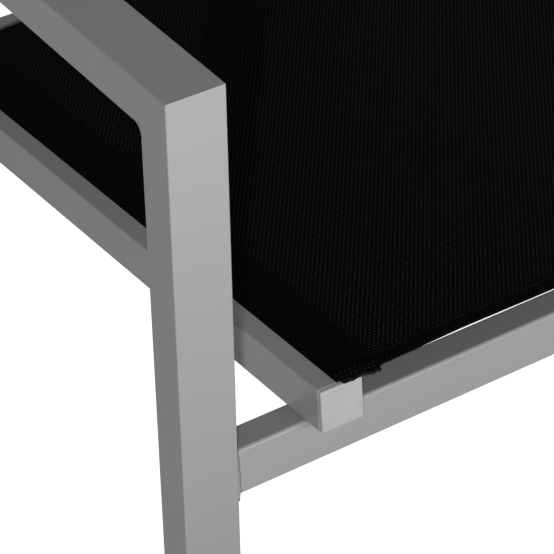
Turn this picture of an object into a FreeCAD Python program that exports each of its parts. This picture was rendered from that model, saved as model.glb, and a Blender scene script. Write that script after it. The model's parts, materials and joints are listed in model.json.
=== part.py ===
import FreeCAD, Part

import math
import os
import re

import Sketcher
from FreeCAD import Placement, Rotation, Vector

# Reclining sun lounger: a welded side frame of rectangular tube on each side, two crossbars,
# a seat of two slotted rails with a sling stretched between them, and a backrest of the same
# make on a pair of ratchet hinges. Millimetres, +Z up, the sitter faces -Y.

# ---------------------------------------------------------------------------------------------
# Driving dimensions
# ---------------------------------------------------------------------------------------------
DIMENSIONS = {
    # side frames
    "overall_width": 700,
    "armrest_height": 620,
    "armrest_reach": 510,  # front leg face to the rear corner, along the armrest's top
    "leg_width": 41,
    "leg_depth": 30,
    "rake": 14,  # degrees, rear leg from the vertical
    "frame_wall": 1.5,
    "edge_round": 1,
    "glide_height": 5,
    "glide_plug": 24,
    # crossbars, square to the seat rails
    "crossbar_high": 35,
    "front_crossbar_deep": 25,
    "rear_crossbar_deep": 22,  # narrower, to stay inside the raked leg's faces
    "cross_round": 2.5,
    "front_crossbar_run": 6.9,
    "rear_crossbar_run": 574,
    # seat plane: the line of the rails' tops, falling to the rear
    "seat_front_height": 374.4,
    "seat_slope": 4.4,
    # slotted rails
    "rail_size": 33,
    "rail_wall": 1.5,
    "rail_round": 1.2,
    "rail_inset": 96,  # outer face of the leg to outer face of the rail
    "rail_front": 8.4,  # ahead of the leg's face
    "seat_rail_end": 600,
    "slot_width": 3.4,
    "keder_depth": 6,
    "keder_bore": 4,
    "channel_half": 6,
    "channel_deep": 11.5,
    # end caps
    "cap_margin": 0.3,
    "cap_proud": 4,
    "cap_round": 1.6,
    "plug_half": 14.7,
    "plug_top": 12.2,
    "plug_gap": 0.3,
    "cap_plug": 14,
    # slings and their welting rods
    "sling_thick": 1.2,
    "sling_gap": 0.1,
    "sling_front": 6.5,
    "seat_sling_end": 568,
    "keder_radius": 2.5,
    "back_sling_start": 52,
    "back_sling_end": 694,
    # spreaders between the rails
    "spreader_deep": 20,
    "spreader_high": 25,
    "spreader_drop": 3,
    "seat_spreader_run": 575.5,
    "lower_spreader_run": 29,
    "upper_spreader_run": 698,
    # backrest
    "back_angle": 50,  # degrees from the floor at rest
    "back_length": 735,  # pivot to the outer face of the rail caps
    "pivot_run": 637,
    # ratchet hinges
    "collar": 3,
    "cheek_inner": 10,
    "knuckle_half": 9.7,
    "knuckle_radius": 15.3,
    "neck_half": 13,
    "knuckle_collar_run": 20,
    "spigot": 34,
    "web_length": 10,
    "web_thick": 4,
    "detent_step": 10,
    "notch_radius": 1.25,
    "nose_radius": 1.05,
    "pawl_half": 5,
    "pawl_back": 19,  # pivot to pawl pin, along the rail
    "pawl_up": 10,  # and square to it
    "pawl_boss": 3.2,
    "pawl_set": 0.4,  # how far the arm's edge stands behind the nose's middle
    "heel_back": 6,
    "heel_up": 1,
    "toe_back": 3.5,
    "toe_drop": 2.1,
    "pin_radius": 2,
    "spring_start": 1.1,
    "spring_radius": 2.7,
    "spring_wire": 0.45,
    "spring_pitch": 0.8,
    "spring_leg": 6,
    # fasteners
    "pivot_radius": 4,
    "running_gap": 0.05,
    "bush_radius": 5.5,
    "washer_radius": 8,
    "washer_thick": 1.6,
    "washer_gap": 0.2,
    "pivot_head_radius": 7.2,
    "pivot_head": 4,
    "pivot_nut_flats": 13,
    "pivot_nut": 6.5,
    "pivot_tail": 1.5,
    "socket_radius": 2.9,
    "socket_depth": 2.4,
    "thread_gap": 0.02,
    "bolt_radius": 3,
    "bolt_hole": 3.3,
    "bolt_head_radius": 5.2,
    "bolt_head": 3.3,
    "bolt_reach": 11,  # past the inside of the rail's lower wall
    "bolt_washer_radius": 6.3,
    "rivet_radius": 4.5,
    "rivet_length": 12,
    "rivet_bulge_radius": 6.1,
    "rivet_bulge": 3,
    "screw_radius": 2.4,
    "screw_hole": 2.5,
    "screw_head_radius": 4.4,
    "screw_head": 2.6,
    "screw_length": 9,
    "screw_near": 10,  # from the rail's end, into the spigot
    "screw_far": 24,
    "screw_up": 7,  # above the inside of the rail's lower wall
}
NOTCHES = 7
REST_NOTCH = 2  # notches from the upright end
SPRING_TURNS = 4

doc = FreeCAD.newDocument("SunLounger")
sheet = doc.addObject("Spreadsheet::Sheet", "Dims")
for row, (alias, value) in enumerate(DIMENSIONS.items(), 1):
    sheet.set(f"A{row}", alias)
    sheet.set(f"B{row}", str(value))
    sheet.setAlias(f"B{row}", alias)
doc.recompute()

ALIASES = re.compile(r"\b(" + "|".join(DIMENSIONS) + r")\b")


def dims(text):
    """An expression in dimension names, as the document writes it."""
    return ALIASES.sub(r"Dims.\1", str(text))


def bind(thing, prop, text):
    thing.setExpression(prop, dims(text))


# ---------------------------------------------------------------------------------------------
# Where the three groups of parts stand. Each part is drawn in its group's own frame.
#   side frame: x from the middle, y from the front legs' faces, z from the floor
#   seat: y along the rails and z square to them, from the rails' tops at the front legs' faces
#   back: y along the back rails and z square to them, from the pivot
# ---------------------------------------------------------------------------------------------
PIVOT_REACH = "(pivot_run * cos(seat_slope) - rail_size / 2 * sin(seat_slope))"
PIVOT_DROP = "(pivot_run * sin(seat_slope) + rail_size / 2 * cos(seat_slope))"
FRONT_REACH = (
    "((rail_front + cap_proud) * cos(seat_slope) + (rail_size - cap_margin) * sin(seat_slope))"
)
REAR_REACH = (
    f"({PIVOT_REACH} + back_length * cos(back_angle)"
    " + (rail_size / 2 - cap_margin) * sin(back_angle))"
)
MIDDLE = f"(({REAR_REACH} - {FRONT_REACH}) / 2)"
GROUPS = {
    "side": (f"-{MIDDLE}", "0", "0"),
    "seat": (f"-{MIDDLE}", "seat_front_height", "-seat_slope"),
    "back": (
        f"{PIVOT_REACH} - {MIDDLE}",
        f"seat_front_height - {PIVOT_DROP}",
        "back_angle",
    ),
}
RAIL_X = "(overall_width / 2 - rail_inset - rail_size / 2)"
SIDES = {"left": -1, "right": 1}

nodes = []


def place(thing, node, group, x="0"):
    """Names a finished part and stands it in its group's frame."""
    y, z, turn = GROUPS[group]
    thing.Label = node
    thing.Placement = Placement(Vector(0, 0, 0), Rotation(Vector(1, 0, 0), 1))
    bind(thing, "Placement.Base.x", x)
    bind(thing, "Placement.Base.y", y)
    bind(thing, "Placement.Base.z", z)
    bind(thing, "Placement.Rotation.Angle", turn)
    nodes.append(thing)
    return thing


# ---------------------------------------------------------------------------------------------
# Sketches and bodies
# ---------------------------------------------------------------------------------------------
def new_body(name):
    return doc.addObject("PartDesign::Body", name)


def new_sketch(body, role, offset="0"):
    """An empty sketch on one of the body's origin planes, moved along the plane's normal."""
    sketch = body.newObject("Sketcher::SketchObject", body.Name + "_sketch")
    plane = next(f for f in body.Origin.OriginFeatures if f.Role == role)
    sketch.AttachmentSupport = [(plane, "")]
    sketch.MapMode = "FlatFace"
    bind(sketch, "AttachmentOffset.Base.z", offset)
    return sketch


def add_outline(sketch, corners):
    """A closed outline of straight lines, each corner held by two dimensions."""
    first = sketch.GeometryCount
    count = len(corners)
    guess = [
        Vector(math.cos(2 * math.pi * k / count), math.sin(2 * math.pi * k / count), 0) * 20
        for k in range(count)
    ]
    for k in range(count):
        sketch.addGeometry(Part.LineSegment(guess[k], guess[(k + 1) % count]), False)
    for k in range(count):
        nearest = first + (k + 1) % count
        sketch.addConstraint(Sketcher.Constraint("Coincident", first + k, 2, nearest, 1))
    for k, (across, up) in enumerate(corners):
        for kind, value in (("DistanceX", across), ("DistanceY", up)):
            held = Sketcher.Constraint(kind, -1, 1, first + k, 1, 10.0 + k)
            number = sketch.addConstraint(held)
            bind(sketch, f"Constraints[{number}]", value)


def add_circle(sketch, across, up, radius):
    circle = sketch.addGeometry(Part.Circle(Vector(5, 5, 0), Vector(0, 0, 1), 2), False)
    held = (
        Sketcher.Constraint("DistanceX", -1, 1, circle, 3, 5.0),
        Sketcher.Constraint("DistanceY", -1, 1, circle, 3, 5.0),
        Sketcher.Constraint("Radius", circle, 2.0),
    )
    for constraint, value in zip(held, (across, up, radius)):
        number = sketch.addConstraint(constraint)
        bind(sketch, f"Constraints[{number}]", value)


def rectangle(left, right, low, high):
    return [(left, low), (right, low), (right, high), (left, high)]


def pad(body, sketch, length, both=False, flip=False):
    feature = body.newObject("PartDesign::Pad", body.Name + "_pad")
    feature.Profile = sketch
    bind(feature, "Length", length)
    feature.SideType = "Symmetric" if both else "One side"
    feature.Reversed = flip
    return feature


def pocket(body, sketch, length=None, both=False, flip=False):
    """Cuts a sketch into the body: to a length, or right through."""
    feature = body.newObject("PartDesign::Pocket", body.Name + "_pocket")
    feature.Profile = sketch
    feature.SideType = "Symmetric" if both else "One side"
    feature.Reversed = flip
    if length is None:
        feature.Type = "ThroughAll"
    else:
        bind(feature, "Length", length)
    return feature


def round_long_edges(body, feature, radius):
    """Rounds the straight edges that run along a bar."""
    doc.recompute()
    longest = max(edge.Length for edge in feature.Shape.Edges)
    names = [
        f"Edge{k}"
        for k, edge in enumerate(feature.Shape.Edges, 1)
        if edge.Length > longest / 2
    ]
    fillet = body.newObject("PartDesign::Fillet", body.Name + "_round")
    fillet.Base = (feature, names)
    bind(fillet, "Radius", radius)
    return fillet


# ---------------------------------------------------------------------------------------------
# Primitives and booleans
# ---------------------------------------------------------------------------------------------
def block(name, x, y, z):
    """A box between pairs of coordinates."""
    made = doc.addObject("Part::Box", name)
    for prop, axis, (low, high) in (("Length", "x", x), ("Width", "y", y), ("Height", "z", z)):
        bind(made, prop, f"({high}) - ({low})")
        bind(made, f"Placement.Base.{axis}", low)
    return made


def disc(name, radius, x, y="0", z="0"):
    """A cylinder along X between two coordinates."""
    low, high = x
    made = doc.addObject("Part::Cylinder", name)
    made.Placement = Placement(Vector(0, 0, 0), Rotation(Vector(0, 1, 0), 90))
    bind(made, "Radius", radius)
    bind(made, "Height", f"({high}) - ({low})")
    bind(made, "Placement.Base.x", low)
    bind(made, "Placement.Base.y", y)
    bind(made, "Placement.Base.z", z)
    return made


def post(name, radius, z, x="0", y="0"):
    """A cylinder along Z between two coordinates."""
    low, high = z
    made = doc.addObject("Part::Cylinder", name)
    bind(made, "Radius", radius)
    bind(made, "Height", f"({high}) - ({low})")
    bind(made, "Placement.Base.x", x)
    bind(made, "Placement.Base.y", y)
    bind(made, "Placement.Base.z", low)
    return made


def fuse(name, parts):
    made = doc.addObject("Part::MultiFuse", name)
    made.Shapes = parts
    made.Refine = True
    return made


def cut(name, base, tools):
    made = doc.addObject("Part::Cut", name)
    made.Base = base
    made.Tool = tools[0] if len(tools) == 1 else fuse(name + "_tools", tools)
    made.Refine = True
    return made


def group_of(name, parts):
    """Identical pieces that share one node."""
    made = doc.addObject("Part::Compound", name)
    made.Links = parts
    return made


# ---------------------------------------------------------------------------------------------
# Side frames
# ---------------------------------------------------------------------------------------------
SLANT = "tan(rake)"
INNER_CORNER = "(armrest_reach - leg_depth / cos(rake) + leg_depth * tan(rake))"
UNDERSIDE = "(armrest_height - leg_depth)"


def tube(name, outer, inner, x):
    """A mitred rectangular tube from its outer and inner outlines, seen from the side."""
    body = new_body(name)
    outline = new_sketch(body, "YZ_Plane")
    add_outline(outline, outer)
    bar = pad(body, outline, "leg_width", both=True)
    round_long_edges(body, bar, "edge_round")
    hollow = new_sketch(body, "YZ_Plane")
    add_outline(hollow, inner)
    pocket(body, hollow, "leg_width - 2 * frame_wall", both=True)
    return place(body, name, "side", x)


def rear_face(height):
    """Where the rear leg's back face is at a height."""
    return f"armrest_reach + (armrest_height - ({height})) * {SLANT}"


def front_face(height):
    """Where the rear leg's front face is at a height."""
    return f"{INNER_CORNER} + ({UNDERSIDE} - ({height})) * {SLANT}"


def front_leg(side, x):
    outer = [
        ("0", "glide_height"),
        ("leg_depth", "glide_height"),
        ("leg_depth", UNDERSIDE),
        ("0", "armrest_height"),
    ]
    inner = rectangle("frame_wall", "leg_depth - frame_wall", "-1", "armrest_height + 1")
    return tube(f"{side}_front_leg", outer, inner, x)


def armrest(side, x):
    outer = [
        ("leg_depth", UNDERSIDE),
        (INNER_CORNER, UNDERSIDE),
        ("armrest_reach", "armrest_height"),
        ("0", "armrest_height"),
    ]
    low = f"{UNDERSIDE} + frame_wall"
    inner = rectangle("-1", "armrest_reach + 1", low, "armrest_height - frame_wall")
    return tube(f"{side}_armrest", outer, inner, x)


def rear_leg(side, x):
    low, high, past = "glide_height", "armrest_height", "armrest_height + leg_depth"
    outer = [
        (front_face(low), low),
        (rear_face(low), low),
        ("armrest_reach", high),
        (INNER_CORNER, UNDERSIDE),
    ]
    skin = "frame_wall / cos(rake)"
    inner = [
        (f"{front_face('-1')} + {skin}", "-1"),
        (f"{rear_face('-1')} - {skin}", "-1"),
        (f"{rear_face(past)} - {skin}", past),
        (f"{front_face(past)} + {skin}", past),
    ]
    return tube(f"{side}_rear_leg", outer, inner, x)


def glide(name, x, foot, plug):
    """A plastic foot: a sole under the leg's end and a plug inside it."""
    body = new_body(name)
    sole_outline = new_sketch(body, "YZ_Plane")
    add_outline(sole_outline, foot)
    sole = pad(body, sole_outline, "leg_width", both=True)
    doc.recompute()
    upright = [
        f"Edge{k}"
        for k, edge in enumerate(sole.Shape.Edges, 1)
        if edge.BoundBox.ZLength > 1 and edge.BoundBox.XLength < 1
    ]
    corners = body.newObject("PartDesign::Fillet", name + "_corners")
    corners.Base = (sole, upright)
    bind(corners, "Radius", "edge_round")
    plug_outline = new_sketch(body, "YZ_Plane")
    add_outline(plug_outline, plug)
    pad(body, plug_outline, "leg_width - 2 * frame_wall", both=True)
    return place(body, name, "side", x)


def front_glide(side, x):
    top = "glide_height + glide_plug"
    foot = rectangle("0", "leg_depth", "0", "glide_height")
    plug = rectangle("frame_wall", "leg_depth - frame_wall", "glide_height / 2", top)
    return glide(f"{side}_front_glide", x, foot, plug)


def rear_glide(side, x):
    low, top = "glide_height / 2", "glide_height + glide_plug"
    skin = "frame_wall / cos(rake)"
    foot = [
        (front_face("0"), "0"),
        (rear_face("0"), "0"),
        (rear_face("glide_height"), "glide_height"),
        (front_face("glide_height"), "glide_height"),
    ]
    plug = [
        (f"{front_face(low)} + {skin}", low),
        (f"{rear_face(low)} - {skin}", low),
        (f"{rear_face(top)} - {skin}", top),
        (f"{front_face(top)} + {skin}", top),
    ]
    return glide(f"{side}_rear_glide", x, foot, plug)


# ---------------------------------------------------------------------------------------------
# Bars that run across
# ---------------------------------------------------------------------------------------------
def cross_tube(name, group, run, deep, top, high, length, holes=()):
    """A rectangular tube along X; holes are (x, y) centres of bolts that pass down through it."""
    body = new_body(name)
    outline = new_sketch(body, "YZ_Plane")
    add_outline(outline, rectangle(run, f"{run} + {deep}", f"{top} - {high}", top))
    bar = pad(body, outline, length, both=True)
    round_long_edges(body, bar, "cross_round")
    hollow = new_sketch(body, "YZ_Plane")
    near, far = f"{run} + frame_wall", f"{run} + {deep} - frame_wall"
    low, roof = f"{top} - {high} + frame_wall", f"{top} - frame_wall"
    add_outline(hollow, rectangle(near, far, low, roof))
    pocket(body, hollow, both=True)
    if holes:
        drilled = new_sketch(body, "XY_Plane")
        for x, y in holes:
            add_circle(drilled, x, y, "bolt_hole")
        pocket(body, drilled, both=True)
    return place(body, name, group)


def crossbar(name, run, deep):
    holes = [(f"{sign} * {RAIL_X}", f"{run} + {deep} / 2") for sign in (-1, 1)]
    length = "overall_width - 2 * leg_width"
    return cross_tube(name, "seat", run, deep, "-rail_size", "crossbar_high", length, holes)


def spreader(name, group, run, top):
    length = f"2 * {RAIL_X} - rail_size"
    return cross_tube(name, group, run, "spreader_deep", top, "spreader_high", length)


# ---------------------------------------------------------------------------------------------
# Slotted rails, their caps, slings and welting rods
# ---------------------------------------------------------------------------------------------
BACK_TOP = "rail_size / 2"  # the back rails' front faces, square from the pivot's line


def screw_height(top):
    """The height of the screws that hold a rail on its hinge."""
    return f"{top} - rail_size + rail_wall + screw_up"


def screw_runs(start, away):
    """Where those screws are along the rail: start is its end, away +1 or -1 the way into it."""
    return [f"{start} + {away} * screw_near", f"{start} + {away} * screw_far"]


def slotted_rail(name, group, x, start, end, top, outside, screws, bolts=()):
    """A square tube with a round channel under a slot in its top.

    screws are the y of the holes in its outer wall, which is on the side outside (+1 or -1) of X,
    and bolts the (y, radius) of the holes in its underside.
    """
    half = "rail_size / 2"
    body = new_body(name)
    outline = new_sketch(body, "XZ_Plane", f"-({start})")
    add_outline(outline, rectangle(f"-{half}", half, f"{top} - rail_size", top))
    bar = pad(body, outline, f"({end}) - ({start})", flip=True)
    round_long_edges(body, bar, "rail_round")
    inside, roof = f"{half} - rail_wall", f"{top} - rail_wall"
    floor, ledge = f"{top} - rail_size + rail_wall", f"{top} - channel_deep"
    hollow = new_sketch(body, "XZ_Plane", f"-({start})")
    add_outline(
        hollow,
        [
            (f"-({inside})", floor),
            (inside, floor),
            (inside, roof),
            ("channel_half", roof),
            ("channel_half", ledge),
            ("-channel_half", ledge),
            ("-channel_half", roof),
            (f"-({inside})", roof),
        ],
    )
    pocket(body, hollow)
    bore = new_sketch(body, "XZ_Plane", f"-({start})")
    add_circle(bore, "0", f"{top} - keder_depth", "keder_bore")
    pocket(body, bore)
    mouth = new_sketch(body, "XZ_Plane", f"-({start})")
    add_outline(
        mouth,
        rectangle("-slot_width / 2", "slot_width / 2", f"{top} - keder_depth", f"{top} + 1"),
    )
    pocket(body, mouth)
    if bolts:
        drilled = new_sketch(body, "XY_Plane", f"{top} - {half}")
        for y, radius in bolts:
            add_circle(drilled, "0", y, radius)
        pocket(body, drilled, "rail_size")
    screwed = new_sketch(body, "YZ_Plane")
    for y in screws:
        add_circle(screwed, y, screw_height(top), "screw_hole")
    pocket(body, screwed, "rail_size", flip=outside > 0)
    return place(body, name, group, x)


def rail_cap(name, group, x, end, outward, top):
    """A plastic cap: a rounded face plate proud of the rail's end and a plug below the channel."""
    edge = "rail_size / 2 - cap_margin"
    face = (end, f"{end} + {outward} * cap_proud")
    plug = (f"{end} - {outward} * cap_plug", end)
    if outward < 0:
        face, plug = face[::-1], plug[::-1]
    plate = block(
        name + "_plate",
        (f"-({edge})", edge),
        face,
        (f"{top} - rail_size + cap_margin", f"{top} - cap_margin"),
    )
    doc.recompute()
    outer_y = plate.Shape.BoundBox.YMin if outward < 0 else plate.Shape.BoundBox.YMax
    outer_edges = [
        k
        for k, e in enumerate(plate.Shape.Edges, 1)
        if abs(e.BoundBox.YMin - outer_y) < 0.01 or e.BoundBox.YLength > 1
    ]
    rounded = doc.addObject("Part::Fillet", name + "_rounded")
    rounded.Base = plate
    rounded.Edges = [(k, DIMENSIONS["cap_round"], DIMENSIONS["cap_round"]) for k in outer_edges]
    stub = block(
        name + "_stub",
        ("-plug_half", "plug_half"),
        plug,
        (f"{top} - rail_size + rail_wall + plug_gap", f"{top} - plug_top"),
    )
    return place(fuse(name, [rounded, stub]), name, group, x)


def sling(name, group, start, end, top):
    """A stretched sheet whose two sides turn down through the rails' slots to the welting rods."""
    middle, half = RAIL_X, "sling_thick / 2"
    under, over = f"{top} + sling_gap", f"{top} + sling_gap + sling_thick"
    low = f"{top} - keder_depth + keder_radius + sling_gap"
    body = new_body(name)
    outline = new_sketch(body, "XZ_Plane", f"-({start})")
    add_outline(
        outline,
        [
            (f"-{middle} - {half}", low),
            (f"-{middle} + {half}", low),
            (f"-{middle} + {half}", under),
            (f"{middle} - {half}", under),
            (f"{middle} - {half}", low),
            (f"{middle} + {half}", low),
            (f"{middle} + {half}", over),
            (f"-{middle} - {half}", over),
        ],
    )
    pad(body, outline, f"({end}) - ({start})", flip=True)
    return place(body, name, group)


def keder_rod(name, group, x, start, end, top):
    body = new_body(name)
    outline = new_sketch(body, "XZ_Plane", f"-({start})")
    add_circle(outline, "0", f"{top} - keder_depth", "keder_radius")
    pad(body, outline, f"({end}) - ({start})", flip=True)
    return place(body, name, group, x)


# ---------------------------------------------------------------------------------------------
# Ratchet hinges. The pivot is at (pivot_run, -rail_size / 2) of the seat's frame.
# ---------------------------------------------------------------------------------------------
AXLE_Y, AXLE_Z = "pivot_run", "-rail_size / 2"
PIN_Y, PIN_Z = "(pivot_run - pawl_back)", "(pawl_up - rail_size / 2)"
HALF = "rail_size / 2"
BACK_RAIL_START = "(knuckle_collar_run + collar)"
BOLT_TIP = "(-rail_size + rail_wall + bolt_reach)"
FRONT_BOLT = "front_crossbar_run + front_crossbar_deep / 2"
REAR_BOLT = "rear_crossbar_run + rear_crossbar_deep / 2"


def facing(sign, near, far):
    """Two coordinates along X on the outer (+) or inner (-) side of a rail, low first."""
    return (near, far) if sign > 0 else (f"-({far})", f"-({near})")


def spigot_holes(name, start, away, height, out):
    """Blind holes for the screws that hold a rail on its spigot; away is +1 or -1 along the rail."""
    x = facing(out, "plug_half - screw_length", "plug_half + 1")
    return [
        disc(f"{name}_hole_{k}", "screw_hole", x, y, height)
        for k, y in enumerate(screw_runs(start, away))
    ]


def hinge_clevis(side, sign, x):
    """The seat's half of the hinge: a spigot in the rail, a collar, two cheeks and two webs."""
    name = f"{side}_hinge_clevis"
    start = "seat_rail_end + collar"
    tall = ("-rail_size", "0")
    spigot_run = ("seat_rail_end - spigot", "seat_rail_end + 1")
    spigot_tall = ("-rail_size + rail_wall + plug_gap", "-plug_top")
    parts = [
        block(name + "_spigot", ("-plug_half", "plug_half"), spigot_run, spigot_tall),
        block(name + "_collar", (f"-{HALF}", HALF), ("seat_rail_end", start), tall),
    ]
    web_wide = ("-cheek_inner - 1", "cheek_inner + 1")
    web_run = (f"{start} - 1", f"{start} + web_length")
    webs = {"top": ("-web_thick", "0"), "foot": ("-rail_size", "-rail_size + web_thick")}
    for web, z in webs.items():
        parts.append(block(f"{name}_{web}", web_wide, web_run, z))
    for cheek, out in (("inner", -1), ("outer", 1)):
        wide = facing(out, "cheek_inner", HALF)
        parts.append(block(f"{name}_{cheek}", wide, (f"{start} - 1", AXLE_Y), tall))
        parts.append(disc(f"{name}_{cheek}_end", HALF, wide, AXLE_Y, AXLE_Z))
    through = (f"-{HALF} - 1", f"{HALF} + 1")
    tools = [
        disc(name + "_bore", "pivot_radius + running_gap", through, AXLE_Y, AXLE_Z),
        disc(name + "_pin_bore", "pin_radius + running_gap", through, PIN_Y, PIN_Z),
        post(
            name + "_bolt_hole",
            "bolt_radius + thread_gap",
            ("-rail_size", f"{BOLT_TIP} + 1"),
            y=REAR_BOLT,
        ),
    ]
    tools += spigot_holes(name, "seat_rail_end", -1, screw_height("0"), sign)
    return place(cut(name, fuse(name + "_solid", parts), tools), name, "seat", x)


def hinge_knuckle(side, sign, x):
    """The back's half of the hinge: a notched disc on the pivot, a neck, a collar and a spigot."""
    name = f"{side}_hinge_knuckle"
    wide = ("-knuckle_half", "knuckle_half")
    through = ("-knuckle_half - 1", "knuckle_half + 1")
    neck_run = ("0", "knuckle_collar_run + 1")
    collar_run = ("knuckle_collar_run", BACK_RAIL_START)
    spigot_run = (f"{BACK_RAIL_START} - 1", f"{BACK_RAIL_START} + spigot")
    spigot_tall = (f"-{HALF} + rail_wall + plug_gap", f"{HALF} - plug_top")
    parts = [
        disc(name + "_disc", "knuckle_radius", wide),
        block(name + "_neck", wide, neck_run, ("-neck_half", "neck_half")),
        block(name + "_collar", (f"-{HALF}", HALF), collar_run, (f"-{HALF}", HALF)),
        block(name + "_spigot", ("-plug_half", "plug_half"), spigot_run, spigot_tall),
    ]
    tools = [disc(name + "_bore", "bush_radius", through)]
    for k in range(NOTCHES):
        angle = f"(180 - seat_slope - back_angle - {REST_NOTCH - k} * detent_step)"
        y, z = f"knuckle_radius * cos({angle})", f"knuckle_radius * sin({angle})"
        tools.append(disc(f"{name}_notch_{k}", "notch_radius", through, y, z))
    tools += spigot_holes(name, BACK_RAIL_START, 1, screw_height(BACK_TOP), sign)
    return place(cut(name, fuse(name + "_solid", parts), tools), name, "back", x)


def pivot_bush(side, x):
    """A plastic sleeve pressed in the knuckle, turning on the pivot bolt."""
    name = f"{side}_pivot_bush"
    wide = ("-knuckle_half", "knuckle_half")
    sleeve = disc(name + "_outside", "bush_radius", wide)
    bore = disc(name + "_bore", "pivot_radius + running_gap", (f"-{HALF}", HALF))
    return place(cut(name, sleeve, [bore]), name, "back", x)


def pawl(side, x):
    """A latch that hangs from its pin, its nose in one of the knuckle's notches.

    The load on the back pushes the nose up at the pin, and lifting swings it out square to the disc.
    """
    name = f"{side}_pawl"
    nose_y, nose_z = "(pivot_run - knuckle_radius)", AXLE_Z
    edge = f"{nose_y} - pawl_set"
    body = new_body(name)
    arm = new_sketch(body, "YZ_Plane")
    add_outline(
        arm,
        [
            (edge, f"{nose_z} - nose_radius"),
            (edge, f"{nose_z} + nose_radius"),
            (f"{PIN_Y} + pawl_boss", PIN_Z),
            (f"{PIN_Y} - pawl_boss", PIN_Z),
            (f"{nose_y} - heel_back", f"{nose_z} + heel_up"),
            (f"{nose_y} - toe_back", f"{nose_z} - toe_drop"),
        ],
    )
    pad(body, arm, "2 * pawl_half", both=True)
    for across, up, radius in ((PIN_Y, PIN_Z, "pawl_boss"), (nose_y, nose_z, "nose_radius")):
        end = new_sketch(body, "YZ_Plane")
        add_circle(end, across, up, radius)
        pad(body, end, "2 * pawl_half", both=True)
    bore = new_sketch(body, "YZ_Plane")
    add_circle(bore, PIN_Y, PIN_Z, "pin_radius + running_gap")
    pocket(body, bore, "4 * pawl_half", both=True)
    return place(body, name, "seat", x)


def pawl_pin(side, x):
    name = f"{side}_pawl_pin"
    body = new_body(name)
    outline = new_sketch(body, "YZ_Plane")
    add_circle(outline, PIN_Y, PIN_Z, "pin_radius")
    pad(body, outline, "rail_size", both=True)
    return place(body, name, "seat", x)


def pawl_spring(side, x):
    """A torsion spring round the pin: close turns of wire, a leg under the web, a leg by the pawl."""
    name = f"{side}_pawl_spring"
    parts = []
    for k in range(SPRING_TURNS):
        turn = doc.addObject("Part::Torus", f"{name}_turn_{k}")
        turn.Placement = Placement(Vector(0, 0, 0), Rotation(Vector(0, 1, 0), 90))
        bind(turn, "Radius1", "spring_radius")
        bind(turn, "Radius2", "spring_wire")
        bind(turn, "Placement.Base.x", f"pawl_half + spring_start + {k} * spring_pitch")
        bind(turn, "Placement.Base.y", PIN_Y)
        bind(turn, "Placement.Base.z", PIN_Z)
        parts.append(turn)
    legs = (
        ("web_leg", 0, Vector(0, -1, 0.5), PIN_Y, f"{PIN_Z} - spring_radius"),
        ("pawl_leg", SPRING_TURNS - 1, Vector(0, 0.2, -1), f"{PIN_Y} - spring_radius", PIN_Z),
    )
    for leg, turn_number, towards, y, z in legs:
        wire = doc.addObject("Part::Cylinder", f"{name}_{leg}")
        wire.Placement = Placement(Vector(0, 0, 0), Rotation(Vector(0, 0, 1), towards))
        bind(wire, "Radius", "spring_wire")
        bind(wire, "Height", "spring_leg")
        bind(wire, "Placement.Base.x", f"pawl_half + spring_start + {turn_number} * spring_pitch")
        bind(wire, "Placement.Base.y", y)
        bind(wire, "Placement.Base.z", z)
        parts.append(wire)
    return place(fuse(name, parts), name, "seat", x)


# ---------------------------------------------------------------------------------------------
# Fasteners
# ---------------------------------------------------------------------------------------------
def beside(sign, low, high):
    """A pair of coordinates measured from a rail's middle, as measured from the lounger's."""
    return f"{sign} * {RAIL_X} + {low}", f"{sign} * {RAIL_X} + {high}"


def hexagon(name, across_corners, height, turn, x):
    """A six-sided prism along X at the pivot; turn is +90 or -90."""
    made = doc.addObject("Part::Prism", name)
    made.Polygon = 6
    made.Placement = Placement(Vector(0, 0, 0), Rotation(Vector(0, 1, 0), turn))
    bind(made, "Circumradius", across_corners)
    bind(made, "Height", height)
    bind(made, "Placement.Base.x", x)
    bind(made, "Placement.Base.y", AXLE_Y)
    bind(made, "Placement.Base.z", AXLE_Z)
    return made


def pivot_bolt(side, sign, x):
    """A shouldered bolt: low round head outside, hexagon socket, shank through both cheeks."""
    name = f"{side}_pivot_bolt"
    tail = f"{HALF} + washer_thick + pivot_nut + pivot_tail"
    reach = facing(-sign, f"-({HALF})", tail)
    top = facing(sign, HALF, f"{HALF} + pivot_head")
    shank = disc(name + "_shank", "pivot_radius", reach, AXLE_Y, AXLE_Z)
    head = disc(name + "_head", "pivot_head_radius", top, AXLE_Y, AXLE_Z)
    floor = f"{sign} * ({HALF} + pivot_head - socket_depth)"
    socket = hexagon(name + "_socket", "socket_radius", "socket_depth + 1", 90 * sign, floor)
    return place(cut(name, fuse(name + "_solid", [shank, head]), [socket]), name, "seat", x)


def pivot_washers():
    parts = []
    for side, sign in SIDES.items():
        near, far = facing(-sign, HALF, f"{HALF} + washer_thick")
        name = f"{side}_pivot_washer"
        plate = disc(name + "_plate", "washer_radius", beside(sign, near, far), AXLE_Y, AXLE_Z)
        through = beside(sign, f"{near} - 1", f"{far} + 1")
        hole = disc(name + "_hole", "pivot_radius + washer_gap", through, AXLE_Y, AXLE_Z)
        parts.append(cut(name, plate, [hole]))
    return place(group_of("pivot_washers", parts), "pivot_washers", "seat")


def pivot_nuts():
    parts = []
    for side, sign in SIDES.items():
        name = f"{side}_pivot_nut"
        face = f"({HALF} + washer_thick)"
        corners = "pivot_nut_flats / 2 / cos(30)"
        seat = f"{sign} * ({RAIL_X} - {face})"
        nut = hexagon(name + "_hexagon", corners, "pivot_nut", -90 * sign, seat)
        near, far = facing(-sign, f"{face} - 1", f"{face} + pivot_nut + 1")
        through = beside(sign, near, far)
        bore = disc(name + "_bore", "pivot_radius + thread_gap", through, AXLE_Y, AXLE_Z)
        parts.append(cut(name, nut, [bore]))
    return place(group_of("pivot_nuts", parts), "pivot_nuts", "seat")


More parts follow.
